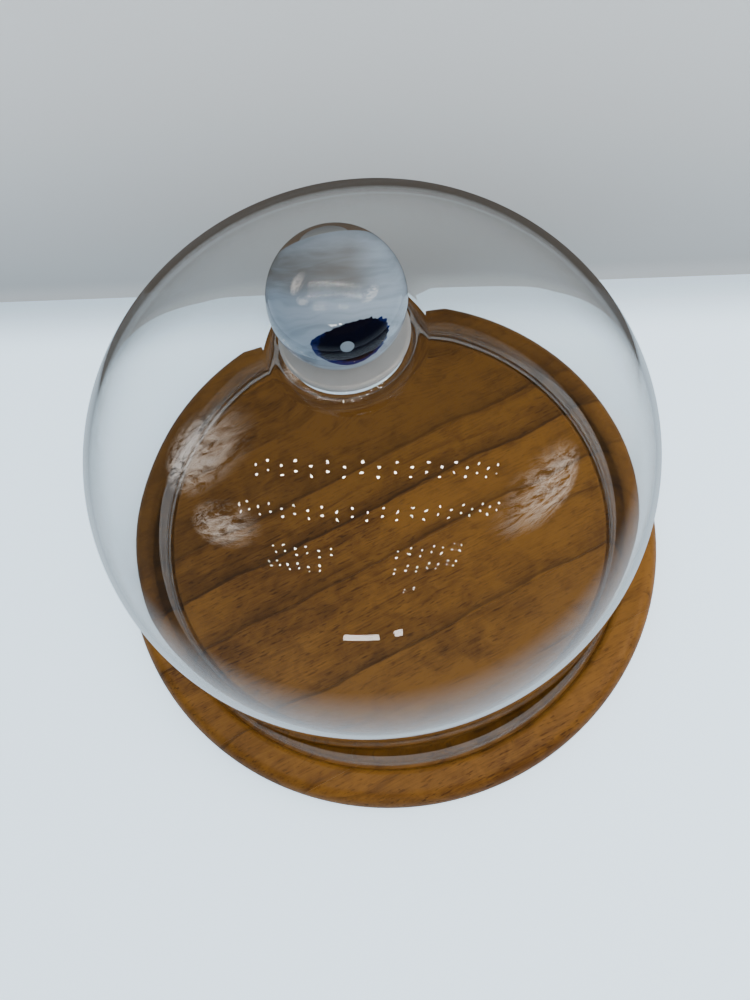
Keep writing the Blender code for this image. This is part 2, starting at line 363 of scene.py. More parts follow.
def slice_off(mesh, point, normal):
    """Cuts a closed bmesh with a plane, removes what lies on the normal's side and closes the cut."""
    geometry = mesh.verts[:] + mesh.edges[:] + mesh.faces[:]
    cut = bmesh.ops.bisect_plane(
        mesh, geom=geometry, dist=MERGE, plane_co=point, plane_no=normal, clear_outer=True
    )
    rim = [item for item in cut["geom_cut"] if isinstance(item, bmesh.types.BMEdge) and item.is_boundary]
    bmesh.ops.edgeloop_fill(mesh, edges=rim)


def facing(azimuth, elevation):
    """The direction of an azimuth and an elevation."""
    return Vector((cos(elevation) * cos(azimuth), cos(elevation) * sin(azimuth), sin(elevation)))


def patch(centre, radius, azimuth, elevation, half_width, half_height, proud, depth, edge, segments, rings):
    """A lens that lies in a ball's surface. edge gives the outline's reach at each angle round it."""
    mesh = bmesh.new()
    bmesh.ops.create_uvsphere(mesh, u_segments=segments, v_segments=rings, radius=1)
    for vert in mesh.verts:
        x, y, z = vert.co
        reach = edge(atan2(y, x)) if x or y else 1.0
        sideways = half_width * reach * x / cos(elevation)
        outward = facing(azimuth + sideways, elevation + half_height * reach * y)
        vert.co = centre + outward * (radius + (proud if z > 0 else depth) * z)
    return mesh


def to_object(mesh, name, materials):
    """Makes an object of a bmesh."""
    data = bpy.data.meshes.new(name)
    mesh.to_mesh(data)
    mesh.free()
    for material in materials:
        data.materials.append(material)
    piece = bpy.data.objects.new(name, data)
    bpy.context.scene.collection.objects.link(piece)
    return piece


def finish(mesh, name, materials, body, replaced, crease):
    bmesh.ops.recalc_face_normals(mesh, faces=mesh.faces)
    for face in mesh.faces:
        face.smooth = True
    piece = to_object(mesh, name, materials)
    piece.data.set_sharp_from_angle(angle=radians(crease))
    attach(piece, body)
    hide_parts(replaced)


# ---------------------------------------------------------------- node helpers


def put(node, inputs):
    """Gives a node its inputs. Each is a socket to link from or a plain value."""
    for key, value in inputs.items():
        if isinstance(value, bpy.types.NodeSocket):
            node.id_data.links.new(value, node.inputs[key])
        else:
            node.inputs[key].default_value = value


def add(tree, kind, inputs=None, **settings):
    """Adds a node with its settings and inputs."""
    made = tree.nodes.new(kind)
    for key, value in settings.items():
        setattr(made, key, value)
    put(made, inputs or {})
    return made


def calc(tree, operation, first, second=0.0, clamp=False):
    """A Math node's result."""
    return add(tree, "ShaderNodeMath", {0: first, 1: second}, operation=operation, use_clamp=clamp).outputs[0]


def plus(tree, first, second):
    return calc(tree, "ADD", first, second)


def minus(tree, first, second):
    return calc(tree, "SUBTRACT", first, second)


def times(tree, first, second):
    return calc(tree, "MULTIPLY", first, second)


def blend(tree, factor, first, second, mode="MIX"):
    """Two colours mixed by a factor."""
    plain = [value if isinstance(value, bpy.types.NodeSocket) else (*value, 1) for value in (first, second)]
    inputs = {0: factor, 6: plain[0], 7: plain[1]}
    return add(
        tree, "ShaderNodeMix", inputs, data_type="RGBA", blend_type=mode, clamp_factor=True
    ).outputs[2]


def ramp(tree, factor, stops):
    """A grey ramp through (place, value) stops."""
    made = add(tree, "ShaderNodeValToRGB", {0: factor})
    elements = made.color_ramp.elements
    while len(elements) < len(stops):
        elements.new(0.5)
    for element, (place, value) in zip(elements, stops):
        element.position = place
        element.color = (value, value, value, 1)
    return made.outputs[0]


def noise_at(tree, vector, scale, detail=2.0, roughness=0.5, distortion=0.0):
    """A noise between 0 and 1, with one scale for each axis."""
    stretched = add(tree, "ShaderNodeMapping", {"Vector": vector, "Scale": scale}).outputs[0]
    values = {"Vector": stretched, "Scale": 1.0, "Detail": detail}
    values |= {"Roughness": roughness, "Distortion": distortion}
    return add(tree, "ShaderNodeTexNoise", values).outputs[0]


def swing(tree, vector, scale, detail=2.0, roughness=0.5):
    """The same noise about zero."""
    return minus(tree, noise_at(tree, vector, scale, detail, roughness), 0.5)


def vector_math(tree, operation, first, second):
    """A Vector Math node's resulting vector."""
    return add(tree, "ShaderNodeVectorMath", {0: first, 1: second}, operation=operation).outputs["Vector"]


def object_place(tree):
    """Where a point is on its object, in metres."""
    return add(tree, "ShaderNodeTexCoord").outputs["Object"]


def distance(tree, vector):
    """A vector's length."""
    return add(tree, "ShaderNodeVectorMath", {0: vector}, operation="LENGTH").outputs["Value"]


def from_middle(tree, place, middle, half_size):
    """How far a place is from a middle, where 1 is the outline of an ellipse. A half size of 0 is ignored."""
    scale = [1 / half if half else 0 for half in half_size]
    offset = vector_math(tree, "SUBTRACT", place, middle)
    return distance(tree, add(tree, "ShaderNodeMapping", {"Vector": offset, "Scale": scale}).outputs[0])


def between(tree, value, low, high, first=0.0, second=1.0):
    """A number that goes smoothly from first to second while value goes from low to high."""
    inputs = {"Value": value, "From Min": low, "From Max": high, "To Min": first, "To Max": second}
    return add(tree, "ShaderNodeMapRange", inputs, interpolation_type="SMOOTHSTEP").outputs[0]


def choose(tree, factor, first, second):
    """A number between two others."""
    return add(tree, "ShaderNodeMapRange", {"Value": factor, "To Min": first, "To Max": second}).outputs[0]


def mixed(tree, factor, first, second):
    """Two shaders mixed by a factor."""
    return add(tree, "ShaderNodeMixShader", {0: factor, 1: first, 2: second}).outputs[0]


def emission(tree, tone, strength):
    """Light of a tone and a strength."""
    return add(tree, "ShaderNodeEmission", {"Color": (*tone, 1), "Strength": strength}).outputs[0]


def surface(tree, shader):
    """Sends a shader to the material's surface."""
    tree.links.new(shader, tree.nodes["Material Output"].inputs["Surface"])


def mirrored_ray(tree):
    """1 for what a reflection sees, also through glass, and 0 for what is seen directly or through it."""
    path = add(tree, "ShaderNodeLightPath")
    return calc(tree, "MULTIPLY", path.outputs["Is Glossy Ray"], path.outputs["Glossy Depth"], clamp=True)


def new_group(name, inputs, outputs):
    """A shader node group with its sockets, and its input and output nodes."""
    group = bpy.data.node_groups.new(name, "ShaderNodeTree")
    for socket, kind, default in inputs:
        made = group.interface.new_socket(socket, in_out="INPUT", socket_type="NodeSocket" + kind)
        made.default_value = default
    for socket, kind in outputs:
        group.interface.new_socket(socket, in_out="OUTPUT", socket_type="NodeSocket" + kind)
    return group, group.nodes.new("NodeGroupInput"), group.nodes.new("NodeGroupOutput")


def new_material(name):
    """A material with its tree and its Principled shader."""
    made = bpy.data.materials.new(name)
    made.use_nodes = True
    return made, made.node_tree, made.node_tree.nodes["Principled BSDF"]


def set_values(node, **values):
    """Gives a node its inputs, named with underscores for spaces."""
    put(node, {key.replace("_", " "): value for key, value in values.items()})


# ---------------------------------------------------------------- wood


# How far the seed moves from stave to stave, and how far apart seeds read the noise, in millimetres.
STAVE_SEED = 3.7
SEED_STEP = 371.3
# How far the growth rings and the grain lines stray from straight: broad sways and small ripples.
RING_SWAY, RING_RIPPLE = 34, 4
LINE_SWAY, LINE_RIPPLE = 30, 2.2
# A grain line begins this far below its joint and has faded out this far above its beginning.
LINE_LEAD, LINE_REACH = 4, 14
# How much of the dark colour the rings' lines, the joints' lines and the pores take on.
RING_LINE_SHARE, JOINT_LINE_SHARE, PORE_SHARE = 0.75, 0.85, 0.6


def acacia_group(board):
    """Growth rings, fibres and pores of acacia, in millimetres along, across and through the stave."""
    numbers = ["Seed", "Ring Spacing", "Tone", "Line Strength"]
    numbers += ["Low Joint", "High Joint", "Low Mark", "High Mark"]
    inputs = [("Pith", "Vector", (0, 0, 0))] + [(name, "Float", 0.0) for name in numbers]
    outputs = [("Color", "Color"), ("Roughness", "Float"), ("Height", "Float")]
    group, given, result = new_group("acacia", inputs, outputs)
    given = given.outputs
    turned = {"Vector": object_place(group), "Rotation": (0, 0, -board.stave_angle), "Scale": (1 / MM,) * 3}
    grain = add(group, "ShaderNodeMapping", turned).outputs[0]
    seed = add(group, "ShaderNodeCombineXYZ", {0: times(group, given["Seed"], SEED_STEP)}).outputs[0]
    seeded = vector_math(group, "ADD", grain, seed)

    # The rings bend round the pith, and some end in a broken dark line.
    sway = times(group, swing(group, seeded, (0.007, 0.02, 0.02)), RING_SWAY)
    ripple = times(group, swing(group, seeded, (0.03, 0.11, 0.11)), RING_RIPPLE)
    bend = plus(group, sway, ripple)
    parts = add(group, "ShaderNodeSeparateXYZ", {0: vector_math(group, "SUBTRACT", grain, given["Pith"])})
    across = plus(group, parts.outputs[1], bend)
    squares = plus(group, calc(group, "POWER", across, 2), calc(group, "POWER", parts.outputs[2], 2))
    rings = calc(group, "DIVIDE", calc(group, "SQRT", squares), given["Ring Spacing"])
    ring = calc(group, "FRACT", rings)
    count = plus(group, calc(group, "FLOOR", rings), given["Seed"])
    chance = add(group, "ShaderNodeTexWhiteNoise", {"W": count}, noise_dimensions="1D").outputs["Value"]
    late = ramp(group, ring, ((0, 0.25), (0.12, 0.0), (0.5, 0.15), (0.86, 0.75), (0.95, 1.0), (1.0, 0.35)))
    strength = times(group, calc(group, "POWER", chance, 5.0), given["Line Strength"])
    line_shape = ramp(group, ring, ((0, 0.0), (0.72, 0.0), (0.93, 1.0), (0.97, 1.0), (1.0, 0.0)))
    broken = ramp(group, noise_at(group, seeded, (0.02, 0.2, 0.2), 3), ((0.42, 0.0), (0.62, 1.0)))
    line = times(group, times(group, line_shape, strength), broken)

    fibre = noise_at(group, seeded, (0.04, 1.1, 1.1), 4, 0.65)
    cloud = noise_at(group, seeded, (0.009, 0.028, 0.028), 3, 0.55)
    mottle = noise_at(group, seeded, (0.07, 0.085, 0.085), 4, 0.65, 0.6)
    fleck = noise_at(group, seeded, (0.15, 0.95, 0.95), 2, 0.5, 0.3)
    pores = ramp(group, fleck, ((0.0, 1.0), (0.34, 1.0), (0.42, 0.0)))
    pores = times(group, pores, ramp(group, cloud, ((0.36, 0.3), (0.6, 1.0))))

    # The dark grain lines along the joints wander alike in both staves, so they don't read the seed.
    drift = times(group, swing(group, grain, (0.009, 0, 0)), LINE_SWAY)
    tremble = times(group, swing(group, grain, (0.09, 0.12, 0)), LINE_RIPPLE)
    level = add(group, "ShaderNodeSeparateXYZ", {0: grain}).outputs[1]
    level = plus(group, plus(group, level, drift), tremble)
    joint = 0.0
    for side in ("Low", "High"):
        above = minus(group, level, given[side + " Joint"])
        shape = calc(group, "DIVIDE", plus(group, above, LINE_LEAD), LINE_REACH)
        shape = ramp(group, shape, ((0, 0), (0.235, 0.12), (0.27, 1), (0.335, 0.95), (0.4, 0.42), (1, 0)))
        joint = calc(group, "MAXIMUM", joint, times(group, shape, given[side + " Mark"]))
    joint = times(group, joint, ramp(group, fibre, ((0.25, 1.0), (0.75, 0.6))))

    mix = times(group, late, 0.10)
    for texture, share in ((cloud, 2.1), (fibre, 1.4), (mottle, 1.8)):
        mix = plus(group, mix, times(group, minus(group, texture, 0.5), share))
    mix = calc(group, "ADD", mix, 0.30, clamp=True)
    wood = blend(group, mix, board.early_wood, board.late_wood)
    wood = blend(group, calc(group, "MULTIPLY", line, RING_LINE_SHARE, clamp=True), wood, board.dark_line)
    wood = blend(group, times(group, joint, JOINT_LINE_SHARE), wood, board.dark_line)
    wood = blend(group, times(group, pores, PORE_SHARE), wood, board.dark_line)
    tone = add(group, "ShaderNodeCombineColor", {i: given["Tone"] for i in range(3)}).outputs[0]
    wood = blend(group, 1.0, wood, tone, "MULTIPLY")

    rough = plus(group, times(group, fibre, 0.14), board.roughness - 0.07)
    rough = plus(group, rough, times(group, pores, 0.2))
    height = minus(group, times(group, fibre, 0.25), pores)
    height = minus(group, height, times(group, line, 0.4))
    set_values(result, Color=wood, Roughness=rough, Height=height)
    return group


def stave_material(count, group, pith, spacing, tone, lines, joints):
    """One stave's wood: the shared acacia with its own pith, ring spacing and tone."""
    material, tree, shader = new_material(f"acacia_{count}")
    wood = add(tree, "ShaderNodeGroup", node_tree=group)
    values = {"Pith": pith, "Seed": STAVE_SEED * count, "Ring Spacing": spacing}
    values |= {"Tone": tone, "Line Strength": lines}
    for side, (place, mark) in zip(("Low", "High"), joints):
        values[side + " Joint"] = place
        values[side + " Mark"] = mark
    put(wood, values)
    bump = {"Height": wood.outputs["Height"], "Strength": 0.35, "Distance": 0.15 * MM}
    normal = add(tree, "ShaderNodeBump", bump).outputs[0]
    look = {"Base_Color": wood.outputs["Color"], "Roughness": wood.outputs["Roughness"], "Normal": normal}
    set_values(shader, Specular_IOR_Level=0.12, **look)
    return material


# ---------------------------------------------------------------- glass


def glass_material(name, tint):
    """Clear glass. Shadow rays and diffuse rays pass straight through it, so that what it covers is
    lit evenly and without caustics."""
    material, tree, shader = new_material(name)
    set_values(shader, Base_Color=(*tint, 1), Roughness=0.0, IOR=GLASS_IOR, Transmission_Weight=1.0)
    path = add(tree, "ShaderNodeLightPath").outputs
    straight = {"Color": (*(STRAIGHT_SHARE * c for c in tint), 1)}
    straight = add(tree, "ShaderNodeBsdfTransparent", straight).outputs[0]
    bounced = mixed(tree, path["Is Diffuse Ray"], shader.outputs[0], straight)
    surface(tree, mixed(tree, path["Is Shadow Ray"], bounced, straight))
    return material


def swirl_group(knob, centre):
    """Bands of white and pale blue glass that wrap the core, with painted shade: grey over the left of its
    upper part, thinner at the top and fading to the right.
    """
    group, given, result = new_group("swirl", [], [("Color", "Color"), ("Band", "Float")])
    centred = vector_math(group, "SUBTRACT", object_place(group), centre)
    scale = (1 / knob.core_radius,) * 3
    turned = {"Vector": centred, "Rotation": (radians(53), radians(-6), 0), "Scale": scale}
    ball = add(group, "ShaderNodeMapping", turned).outputs[0]
    drift = swing(group, ball, (0.8, 0.8, 1.2))
    parts = add(group, "ShaderNodeSeparateXYZ", {0: ball})
    level = plus(group, parts.outputs[2], times(group, drift, 0.7))
    row = add(group, "ShaderNodeCombineXYZ", {2: level})
    bands = noise_at(group, row.outputs[0], (1, 1, 3.2), 3, 0.55)
    wisps = noise_at(group, ball, (0.9, 0.9, 6.0), 3, 0.6, 0.4)
    band = ramp(group, bands, ((0.36, 0.0), (0.5, 0.5), (0.64, 1.0)))
    glass = blend(group, band, knob.blue, knob.white)
    glass = blend(group, ramp(group, wisps, ((0.42, 0.0), (0.68, 0.5))), glass, knob.white)
    # Painted shade: grey laid over the left of the upper part, thinner at the top and fading to the right,
    # where the core is lit less.
    painted_shade = ramp(group, level, ((0.05, 0.0), (0.3, 0.95), (0.62, 0.9), (0.86, 0.45)))
    painted_shade = times(group, painted_shade, between(group, parts.outputs[0], 0.2, 0.75, 1.0, 0.1))
    painted_shade = times(group, painted_shade, ramp(group, wisps, ((0.3, 1.0), (0.72, 0.6))))
    set_values(result, Color=blend(group, painted_shade, glass, knob.grey), Band=band)
    return group


def core_material(knob, centre):
    """Opaque swirled glass of the core, with the swirl's painted shade."""
    material, tree, shader = new_material("swirled_glass")
    swirl = add(tree, "ShaderNodeGroup", node_tree=swirl_group(knob, centre))
    rough = choose(tree, swirl.outputs["Band"], 0.3, 0.45)
    set_values(shader, Base_Color=swirl.outputs["Color"], Roughness=rough, Specular_IOR_Level=0.0)
    return material


def cobalt_material(knob, outward, centre):
    """Deep cobalt glass, brighter where it thins towards its edge."""
    material, tree, shader = new_material("cobalt_glass")
    place = object_place(tree)
    half_size = [knob.core_radius * sin(half) for half in (knob.inlay_width, 0, knob.inlay_height)]
    away = from_middle(tree, place, centre + outward * knob.core_radius, half_size)
    ragged = times(tree, swing(tree, place, (260,) * 3, 3, 0.6), 0.7)
    fringe = ramp(tree, plus(tree, away, ragged), ((0.86, 0.0), (1.3, 1.0)))
    glass = blend(tree, fringe, knob.cobalt, knob.cobalt_edge)
    set_values(shader, Base_Color=glass, Roughness=1.0, Specular_IOR_Level=0.0)
    return material


def clouded(tree, shader, tone, scale, thin):
    """Gives a shader a tone with a faint cloud in it. thin is the cloud's value where it is darkest."""
    cloud = ramp(tree, noise_at(tree, object_place(tree), scale, 3), ((0.3, thin), (0.7, 1.0)))
    set_values(shader, Base_Color=blend(tree, 1.0, tone, cloud, "MULTIPLY"))


def rim_material(dome):
    """Ground glass of the foot: partly clear, partly white."""
    material, tree, shader = new_material("ground_glass")
    clouded(tree, shader, dome.rim, (60, 60, 300), 0.8)
    set_values(shader, Roughness=0.12, IOR=GLASS_IOR, Transmission_Weight=0.78)
    return material


def plain_glass(name, tone, variation, roughness, coat, specular=0.5):
    """Opaque glass with a faint cloud in it."""
    material, tree, shader = new_material(name)
    clouded(tree, shader, tone, (90, 90, 160), 1 - variation)
    set_values(shader, Roughness=roughness, Specular_IOR_Level=specular)
    set_values(shader, Coat_Weight=coat, Coat_Roughness=0.03)
    return material


# ---------------------------------------------------------------- stage


# Tones of the room in reflections, of daylight and of lamplight.
MIRRORED_TONE = (1.0, 0.9, 0.8)
DAYLIGHT = (0.92, 0.97, 1.0)
LAMPLIGHT = (1, 0.93, 0.82)
# The wall's own light rises to its full value over this height, and its foot glow reaches this high.
WALL_RISE, WALL_FOOT = 0.24, 0.02
# How much of their glow the wall's foot and the floor along the wall keep.
WALL_FOOT_SHARE, FLOOR_EDGE_SHARE = 0.25, 0.15
# Between these distances from the origin the mirrored floor fades from the first strength to the second.
FLOOR_FADE, FLOOR_MIRRORED = (0.16, 0.60), (1.15, 0.08)
# Each lamp is its name, its size, its share of the lamp power, its place, its target and its tone.
LAMPS = (
    ("overhead_right", 0.9, 1.0, (0.35, -0.25, 1.1), (0, 0, 0.05), (1, 1, 1)),
    ("side_right", 0.5, 0.5, (0.75, -0.35, 0.45), (0.1, -0.05, 0), LAMPLIGHT),
    ("overhead_left", 0.9, 0.45, (-0.55, -0.1, 1.0), (0, 0, 0.05), (0.94, 0.98, 1)),
)
# Each strip of small lights is its distance in front of the board's middle and the stretches it fills.
LIGHT_STRIPS = (
    (0.068, [(-0.205, 0.330)]),
    (0.168, [(-0.275, 0.380)]),
    (0.285, [(-0.205, -0.030), (0.090, 0.320)]),
    (0.352, [(-0.240, -0.045), (0.095, 0.310)]),
    (0.470, [(0.140, 0.200)]),
)
# The speckled glow's size and its height over the small lights. Each patch is its middle and half size.
GLOW_SIZE, GLOW_GAP = (2.6, 1.4), 10 * MM
GLOW_PATCHES = ((-0.47, 0.08, 0.30, 0.12), (-0.47, -0.14, 0.21, 0.095), (0.66, -0.29, 0.42, 0.21))
# Each panel is its direction from a point in front of the crown, in degrees, its width and its height.
PANELS = ((-106, 16, 0.2, 0.055), (-93.5, 17, 0.05, 0.06))
BEFORE_CROWN = Vector((0, -0.1, 0.19))


def matt_material(name, tone):
    """A matt material that can glow in its own tone."""
    material, tree, shader = new_material(name)
    set_values(shader, Base_Color=(*tone, 1), Emission_Color=(*tone, 1))
    set_values(shader, Roughness=0.85, Specular_IOR_Level=0.1)
    return material, tree, shader


def floor_material(stage):
    """A pale matt floor with a little light of its own, less of it along the wall, which reflections see
    only near the board."""
    material, tree, shader = matt_material("pale_floor", stage.floor)
    place = object_place(tree)
    back = Matrix.Rotation(stage.wall_turn, 4, "Z") @ Vector((0, 1, 0))
    depth = add(tree, "ShaderNodeVectorMath", {0: place, 1: back}, operation="DOT_PRODUCT").outputs["Value"]
    shade_start = stage.wall_distance - stage.wall_shade
    strengths = (stage.floor_glow, FLOOR_EDGE_SHARE * stage.floor_glow)
    glow = between(tree, depth, shade_start, stage.wall_distance, *strengths)
    set_values(shader, Emission_Strength=glow)
    near = between(tree, distance(tree, place), *FLOOR_FADE, *FLOOR_MIRRORED)
    surface(tree, mixed(tree, mirrored_ray(tree), shader.outputs[0], emission(tree, stage.floor, near)))
    return material


def wall_material(stage):
    """A pale matt wall, a little lighter upwards. Reflections see it as dim as the sky, and it can't be
    seen from behind."""
    material, tree, shader = matt_material("pale_wall", stage.wall)
    height = add(tree, "ShaderNodeSeparateXYZ", {0: object_place(tree)}).outputs[2]
    glow = between(tree, height, 0.0, WALL_RISE, WALL_FOOT_SHARE * stage.wall_glow, stage.wall_glow)
    glow = plus(tree, glow, between(tree, height, 0.0, WALL_FOOT, stage.wall_foot_glow, 0.0))
    set_values(shader, Emission_Strength=glow)
    dim = emission(tree, MIRRORED_TONE, stage.mirrored_sky)
    front = mixed(tree, mirrored_ray(tree), shader.outputs[0], dim)
    behind = add(tree, "ShaderNodeNewGeometry").outputs["Backfacing"]
    surface(tree, mixed(tree, behind, front, add(tree, "ShaderNodeBsdfTransparent").outputs[0]))
    return material


def light_material(name, tone, strength):
    """Plain light."""
    material, tree, shader = new_material(name)
    surface(tree, emission(tree, tone, strength))
    tree.nodes.remove(shader)
    return material


def glow_material(stage):
    """Speckled streaks of light where the light rows end, and nothing between them."""
    material, tree, shader = new_material("speckled_glow")
    place = object_place(tree)
    streaks = noise_at(tree, place, (9, 34, 1), 5, 0.75, 0.8)
    reach = 0.0
    for x, y, half_x, half_y in GLOW_PATCHES:
        away = from_middle(tree, place, (x, y, 0), (half_x, half_y, 0))
        reach = calc(tree, "MAXIMUM", reach, between(tree, away, 0.35, 1.0, 1.0, 0.0))
    lit = times(tree, reach, ramp(tree, streaks, ((0.40, 0.0), (0.60, 1.0))))
    clear = add(tree, "ShaderNodeBsdfTransparent").outputs[0]
    surface(tree, mixed(tree, lit, clear, emission(tree, MIRRORED_TONE, stage.glow)))
    tree.nodes.remove(shader)
    return material


def sheet(name, size_x, size_y, place, material):
    """A flat rectangle of the stage."""
    mesh = bmesh.new()
    bmesh.ops.create_grid(mesh, x_segments=1, y_segments=1, size=0.5)
    bmesh.ops.transform(mesh, matrix=place @ Matrix.Diagonal((size_x, size_y, 1, 1)), verts=mesh.verts)
    piece = to_object(mesh, name, [material])
    return piece


def lamp(name, size, power, place, target, tone):
    """A soft square lamp aimed at a point. It isn't reflected in the glass."""
    data = bpy.data.lights.new(name, "AREA")
    data.shape = "SQUARE"
    data.size = size
    data.energy = power
    data.color = tone
    piece = bpy.data.objects.new(name, data)
    bpy.context.scene.collection.objects.link(piece)
    aim = (Vector(target) - Vector(place)).to_track_quat("-Z", "Y")
    piece.matrix_world = Matrix.Translation(place) @ aim.to_matrix().to_4x4()
    piece.visible_glossy = False
    piece.visible_camera = False
    piece.visible_transmission = False


def build_camera(stage):
    """Adds the camera and looks through it."""
    data = bpy.data.cameras.new("camera")
    data.lens = stage.lens
    camera = bpy.data.objects.new("camera", data)
    bpy.context.scene.collection.objects.link(camera)
    turn = Matrix.Rotation(stage.camera_tilt, 4, "X") @ Matrix.Rotation(stage.camera_lean, 4, "Y")
    turn = turn @ Matrix.Rotation(stage.camera_roll, 4, "Z")
    camera.matrix_world = Matrix.Translation(stage.camera_place) @ turn
    bpy.context.scene.camera = camera


def build_world(stage):
    """Even light from all round, which reflections see dim and warm."""
    world = bpy.data.worlds.new("soft_light")
    world.use_nodes = True
    tree = world.node_tree
    mirrored = mirrored_ray(tree)
    tone = blend(tree, mirrored, DAYLIGHT, MIRRORED_TONE)
    strength = choose(tree, mirrored, stage.sky, stage.mirrored_sky)
    set_values(tree.nodes["Background"], Color=tone, Strength=strength)
    bpy.context.scene.world = world


def only_mirrored(piece):
    """Leaves a piece of the stage to reflections alone."""
    piece.visible_camera = False
    piece.visible_diffuse = False
    piece.visible_transmission = False
    piece.visible_shadow = False


def build_light_rows(stage):
    """Two rows of small lights on each strip over the board, which only show as glints on glass."""
    mesh = bmesh.new()
    turn = Matrix.Rotation(stage.wall_turn + stage.led_turn, 4, "Z")
    for strip, stretches in LIGHT_STRIPS:
        for row, (first, last) in ((row, stretch) for row in (-0.5, 0.5) for stretch in stretches):
            for i in range(int((last - first) / stage.led_spacing)):
                zigzag = stage.led_zigzag * (1 if i % 2 else -1)
                forward = -strip + row * stage.led_row_gap + zigzag
                place = turn @ Matrix.Translation((first + i * stage.led_spacing, forward, stage.led_height))
                bmesh.ops.create_circle(
                    mesh, cap_ends=True, segments=10, radius=stage.led_radius, matrix=place
                )
    rows = to_object(mesh, "light_rows", [light_material("small_lights", LAMPLIGHT, stage.led_strength)])
    only_mirrored(rows)


def build_mirrored_light(stage):
    """A speckled glow over the light rows and two bright panels in front, which only reflections see."""
    place = Matrix.Translation((0, 0, stage.led_height + GLOW_GAP))
    only_mirrored(sheet("glow", *GLOW_SIZE, place, glow_material(stage)))
    material = light_material("bright_panel", (1, 0.95, 0.9), stage.panel)
    for count, (azimuth, elevation, width, height) in enumerate(PANELS):
        outward = facing(radians(azimuth), radians(elevation))
        turn = outward.to_track_quat("Z", "Y").to_matrix().to_4x4()
        place = Matrix.Translation(BEFORE_CROWN + outward) @ turn
        only_mirrored(sheet(f"panel_{count}", width, height, place, material))


# ---------------------------------------------------------------- operators


class CAKESTAND_OT_stage(bpy.types.Operator):
    """Adds the floor, the wall, the soft lights and the camera"""

    bl_idname = "cakestand.stage"
    bl_label = "Stage"

    def execute(self, context):
        stage = context.scene.cake_stand_stage
        sheet("floor", stage.floor_size, stage.floor_size, Matrix.Identity(4), floor_material(stage))
        place = Matrix.Rotation(stage.wall_turn, 4, "Z")
        place = place @ Matrix.Translation((0, stage.wall_distance, stage.wall_height / 2))
        place = place @ Matrix.Rotation(pi / 2, 4, "X")
        sheet("wall", stage.wall_width, stage.wall_height, place, wall_material(stage))
        for name, size, share, *aim in LAMPS:
            lamp(name, size, share * stage.lamp_power, *aim)
        build_world(stage)
        build_light_rows(stage)
        build_mirrored_light(stage)
        build_camera(stage)
        return {"FINISHED"}


class CAKESTAND_OT_board(bpy.types.Operator):
    """Turns the board and cuts it into its acacia staves"""

    bl_idname = "cakestand.board"
    bl_label = "Board"

    def execute(self, context):
        board = context.scene.cake_stand_board
        group = acacia_group(board)
        turn = Matrix.Rotation(board.stave_angle, 3, "Z")
        across = turn @ Vector((0, 1, 0))
        edges = [None] + STAVE_JOINTS + [None]
        marks = [0, *JOINT_MARKS, 0]
        for count, (low, high, wood) in enumerate(zip(edges, edges[1:], STAVE_WOOD), start=1):
            mesh = spun(board_profile(board), board.steps)
            if low is not None:
                slice_off(mesh, across * (low + board.joint_gap / 2), -across)
            if high is not None:
                slice_off(mesh, across * (high - board.joint_gap / 2), across)
            pith_across, pith_height, spacing, tone, lines = wood
            beside = zip((low, high), marks[count - 1 : count + 1])
            joints = [(NO_JOINT if edge is None else edge / MM, mark) for edge, mark in beside]
            pith = (0, pith_across, pith_height)
            material = stave_material(count, group, pith, spacing, tone, lines, joints)
            name = f"acacia_stave_{count}"
            finish(mesh, name, [material], "board", f"board_stave_{count}", 30)
        return {"FINISHED"}


class CAKESTAND_OT_dome(bpy.types.Operator):
    """Blows the clear glass dome"""

    bl_idname = "cakestand.dome"
    bl_label = "Dome"

    def execute(self, context):
        dome = context.scene.cake_stand_dome
        mesh = spun(dome_profile(dome), dome.steps)
        mesh.normal_update()
        foot_top = dome.base_height + 2 * dome.foot_wall
        shoulder_z = dome.base_height + dome.shoulder_rise
        for vert in mesh.verts:
            outwards = Vector((vert.co.x, vert.co.y, max(0.0, vert.co.z - shoulder_z)))
            if vert.co.z > foot_top and vert.normal.dot(outwards) < 0:
                vert.co += vert.normal * dome.waviness * noise.noise(vert.co * dome.waves)
        rim_top = dome.base_height + dome.rim_height
        for face in mesh.faces:
            face.material_index = 1 if face.calc_center_median().z < rim_top else 0
        materials = [glass_material("clear_glass", dome.tint), rim_material(dome)]
        finish(mesh, "glass_dome", materials, "dome", "dome_shell", 60)
        return {"FINISHED"}


class CAKESTAND_OT_foot_disc(bpy.types.Operator):
    """Adds the milk glass disc under the knob"""

    bl_idname = "cakestand.foot_disc"
    bl_label = "Foot disc"

    def execute(self, context):
        knob = context.scene.cake_stand_knob
        mesh = spun(disc_profile(knob), knob.steps)
        material = plain_glass("milk_glass", knob.milk, 0.12, 0.3, 0.8)
        finish(mesh, "milk_glass_disc", [material], "dome", "knob_foot_disc", 50)
        return {"FINISHED"}


